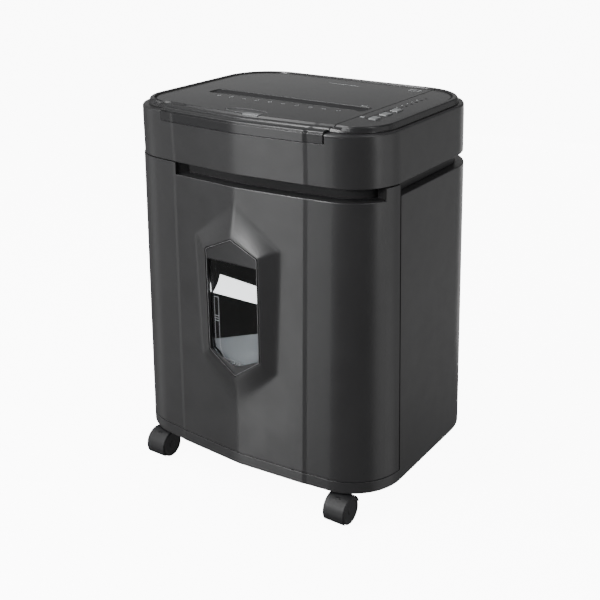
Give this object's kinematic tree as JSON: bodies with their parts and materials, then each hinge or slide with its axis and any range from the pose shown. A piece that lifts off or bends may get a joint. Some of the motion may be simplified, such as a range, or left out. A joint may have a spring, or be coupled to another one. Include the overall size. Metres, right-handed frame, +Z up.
{
  "type": "paper shredder",
  "caption": "Floor-standing auto-feed paper shredder with a lifting lid, hand-feed slot, pull-out bin with sight window, and swivel casters.",
  "frame": {"origin": "on the floor under the middle of the bounding box", "axes": "+Z up, front with the bin and window towards -Y, +X to the right seen from the front (control panel side)"},
  "size_m": [0.401, 0.325, 0.515],
  "materials": {
    "casing": "satin, fine grain",
    "gloss_casing": "semi-gloss",
    "dark_plastic": "matt",
    "clear_window": "clear polished plastic",
    "button_grey": "satin",
    "indicator": "gloss",
    "steel": "zinc-plated",
    "cutter_steel": "oiled hardened steel",
    "roller_rubber": "matt",
    "gear_nylon": "natural nylon",
    "motor_can": "satin paint",
    "board": "green solder mask",
    "transformer": "varnished",
    "caster_nylon": "satin"
  },
  "bodies": {
    "cabinet": {"cabinet_shell": "casing", "base_plate": "dark_plastic", "neck_frame": "dark_plastic", "bin_guide_left": "dark_plastic", "bin_guide_right": "dark_plastic", "head_shell": "casing", "control_panel": "gloss_casing", "indicator_strip": "indicator", "lid_hinge_pin_left": "steel", "lid_hinge_pin_right": "steel", "hinge_bracket_left": "dark_plastic", "hinge_bracket_right": "dark_plastic", "paper_tray": "dark_plastic", "side_plate_left": "steel", "side_plate_right": "steel", "cross_bar_front": "steel", "cross_bar_rear": "steel", "motor": "motor_can", "stripper_front": "dark_plastic", "stripper_rear": "dark_plastic", "belt_front": "roller_rubber", "belt_rear": "roller_rubber", "circuit_board": "board", "power_supply": "transformer", "power_inlet": "dark_plastic", "rocker_housing": "dark_plastic", "vent_grille": "dark_plastic", "bin_switch": "dark_plastic"},
    "bin": {"bin_tub": "dark_plastic", "bin_front": "casing", "window_frame": "casing", "window_pane": "clear_window"},
    "lid": {"lid": "gloss_casing", "pivot_rod": "steel", "pressure_spring": "steel"},
    "pressure_plate": {"pressure_plate": "dark_plastic"},
    "latch_tab": {"latch_button": "button_grey"},
    "latch_hook": {"latch_hook": "dark_plastic"},
    "power_button": {"button_power": "button_grey"},
    "forward_button": {"button_forward": "button_grey"},
    "reverse_button": {"button_reverse": "button_grey"},
    "rocker": {"rocker_paddle": "indicator"},
    "rear_cutter": {"cutter_rear": "cutter_steel", "gear_cutter_rear": "cutter_steel"},
    "front_cutter": {"cutter_front": "cutter_steel", "gear_cutter_front": "cutter_steel"},
    "idler": {"gear_idler": "gear_nylon"},
    "rotor": {"motor_pinion": "cutter_steel", "motor_shaft": "steel", "cooling_fan": "dark_plastic"},
    "front_feed_roller": {"feed_roller_front": "roller_rubber"},
    "rear_feed_roller": {"feed_roller_rear": "roller_rubber"},
    "caster_front_left": {"caster_housing_front_left": "dark_plastic"},
    "wheels_front_left": {"caster_wheels_front_left": "caster_nylon"},
    "caster_front_right": {"caster_housing_front_right": "dark_plastic"},
    "wheels_front_right": {"caster_wheels_front_right": "caster_nylon"},
    "caster_rear_left": {"caster_housing_rear_left": "dark_plastic"},
    "wheels_rear_left": {"caster_wheels_rear_left": "caster_nylon"},
    "caster_rear_right": {"caster_housing_rear_right": "dark_plastic"},
    "wheels_rear_right": {"caster_wheels_rear_right": "caster_nylon"}
  },
  "joints": [
    {"name": "bin_slide", "type": "slide", "parent": "cabinet", "child": "bin", "axis": [0, -1, 0], "range_m": [0, 0.26]},
    {"name": "lid_hinge", "type": "hinge", "parent": "cabinet", "child": "lid", "pos_m": [0, 0.134, 0.508], "axis": [-1, 0, 0], "range_deg": [0, 68]},
    {"name": "pressure_plate_hinge", "type": "hinge", "parent": "lid", "child": "pressure_plate", "pos_m": [0, 0.072, 0.5025], "axis": [-1, 0, 0], "range_deg": [0, 7], "stiffness_Nm_per_rad": 0.3, "springref_deg": -8.59},
    {"name": "latch_press", "type": "slide", "parent": "lid", "child": "latch_tab", "axis": [0, 0, -1], "range_m": [0, 0.002], "stiffness_N_per_m": 400, "springref_m": -0.0005},
    {"name": "latch_hook_swing", "type": "hinge", "parent": "lid", "child": "latch_hook", "pos_m": [0.008, -0.119, 0.502], "axis": [1, 0, 0], "range_deg": [0, 12]},
    {"name": "power_button_press", "type": "slide", "parent": "cabinet", "child": "power_button", "axis": [0, 0, -1], "range_m": [0, 0.0012], "stiffness_N_per_m": 400, "springref_m": -0.0005},
    {"name": "forward_button_press", "type": "slide", "parent": "cabinet", "child": "forward_button", "axis": [0, 0, -1], "range_m": [0, 0.0012], "stiffness_N_per_m": 400, "springref_m": -0.0005},
    {"name": "reverse_button_press", "type": "slide", "parent": "cabinet", "child": "reverse_button", "axis": [0, 0, -1], "range_m": [0, 0.0012], "stiffness_N_per_m": 400, "springref_m": -0.0005},
    {"name": "rocker_tip", "type": "hinge", "parent": "cabinet", "child": "rocker", "pos_m": [0.06, 0.151, 0.4615], "axis": [1, 0, 0], "range_deg": [-6, 6]},
    {"name": "rear_cutter_spin", "type": "hinge", "parent": "cabinet", "child": "rear_cutter", "pos_m": [0, -0.0195, 0.4135], "axis": [1, 0, 0], "continuous": true},
    {"name": "front_cutter_spin", "type": "hinge", "parent": "cabinet", "child": "front_cutter", "pos_m": [0, -0.0485, 0.4135], "axis": [1, 0, 0], "continuous": true},
    {"name": "idler_spin", "type": "hinge", "parent": "cabinet", "child": "idler", "pos_m": [0, 0.01621, 0.4265], "axis": [1, 0, 0], "continuous": true},
    {"name": "rotor_spin", "type": "hinge", "parent": "cabinet", "child": "rotor", "pos_m": [0, 0.04792, 0.43209], "axis": [1, 0, 0], "continuous": true},
    {"name": "front_feed_spin", "type": "hinge", "parent": "cabinet", "child": "front_feed_roller", "pos_m": [0, -0.056, 0.4695], "axis": [1, 0, 0], "continuous": true},
    {"name": "rear_feed_spin", "type": "hinge", "parent": "cabinet", "child": "rear_feed_roller", "pos_m": [0, -0.012, 0.4695], "axis": [1, 0, 0], "continuous": true},
    {"name": "swivel_front_left", "type": "hinge", "parent": "cabinet", "child": "caster_front_left", "pos_m": [-0.1505, -0.1277, 0.042], "axis": [0, 0, 1], "continuous": true},
    {"name": "roll_front_left", "type": "hinge", "parent": "caster_front_left", "child": "wheels_front_left", "pos_m": [-0.1505, -0.1415, 0.0185], "axis": [1, 0, 0], "continuous": true},
    {"name": "swivel_front_right", "type": "hinge", "parent": "cabinet", "child": "caster_front_right", "pos_m": [0.1505, -0.1277, 0.042], "axis": [0, 0, 1], "continuous": true},
    {"name": "roll_front_right", "type": "hinge", "parent": "caster_front_right", "child": "wheels_front_right", "pos_m": [0.1505, -0.1415, 0.0185], "axis": [1, 0, 0], "continuous": true},
    {"name": "swivel_rear_left", "type": "hinge", "parent": "cabinet", "child": "caster_rear_left", "pos_m": [-0.1505, 0.125, 0.042], "axis": [0, 0, 1], "continuous": true},
    {"name": "roll_rear_left", "type": "hinge", "parent": "caster_rear_left", "child": "wheels_rear_left", "pos_m": [-0.1505, 0.1112, 0.0185], "axis": [1, 0, 0], "continuous": true},
    {"name": "swivel_rear_right", "type": "hinge", "parent": "cabinet", "child": "caster_rear_right", "pos_m": [0.1505, 0.125, 0.042], "axis": [0, 0, 1], "continuous": true},
    {"name": "roll_rear_right", "type": "hinge", "parent": "caster_rear_right", "child": "wheels_rear_right", "pos_m": [0.1505, 0.1112, 0.0185], "axis": [1, 0, 0], "continuous": true}
  ],
  "couplings": [
    {"joint": "front_cutter_spin", "follows": "rear_cutter_spin", "ratio": -1},
    {"joint": "idler_spin", "follows": "rear_cutter_spin", "ratio": -0.625},
    {"joint": "rotor_spin", "follows": "rear_cutter_spin", "ratio": 1.6667},
    {"joint": "front_feed_spin", "follows": "rear_cutter_spin", "ratio": -1},
    {"joint": "rear_feed_spin", "follows": "rear_cutter_spin", "ratio": 1},
    {"joint": "latch_hook_swing", "follows": "latch_press", "rad_per_m": 87.266}
  ]
}
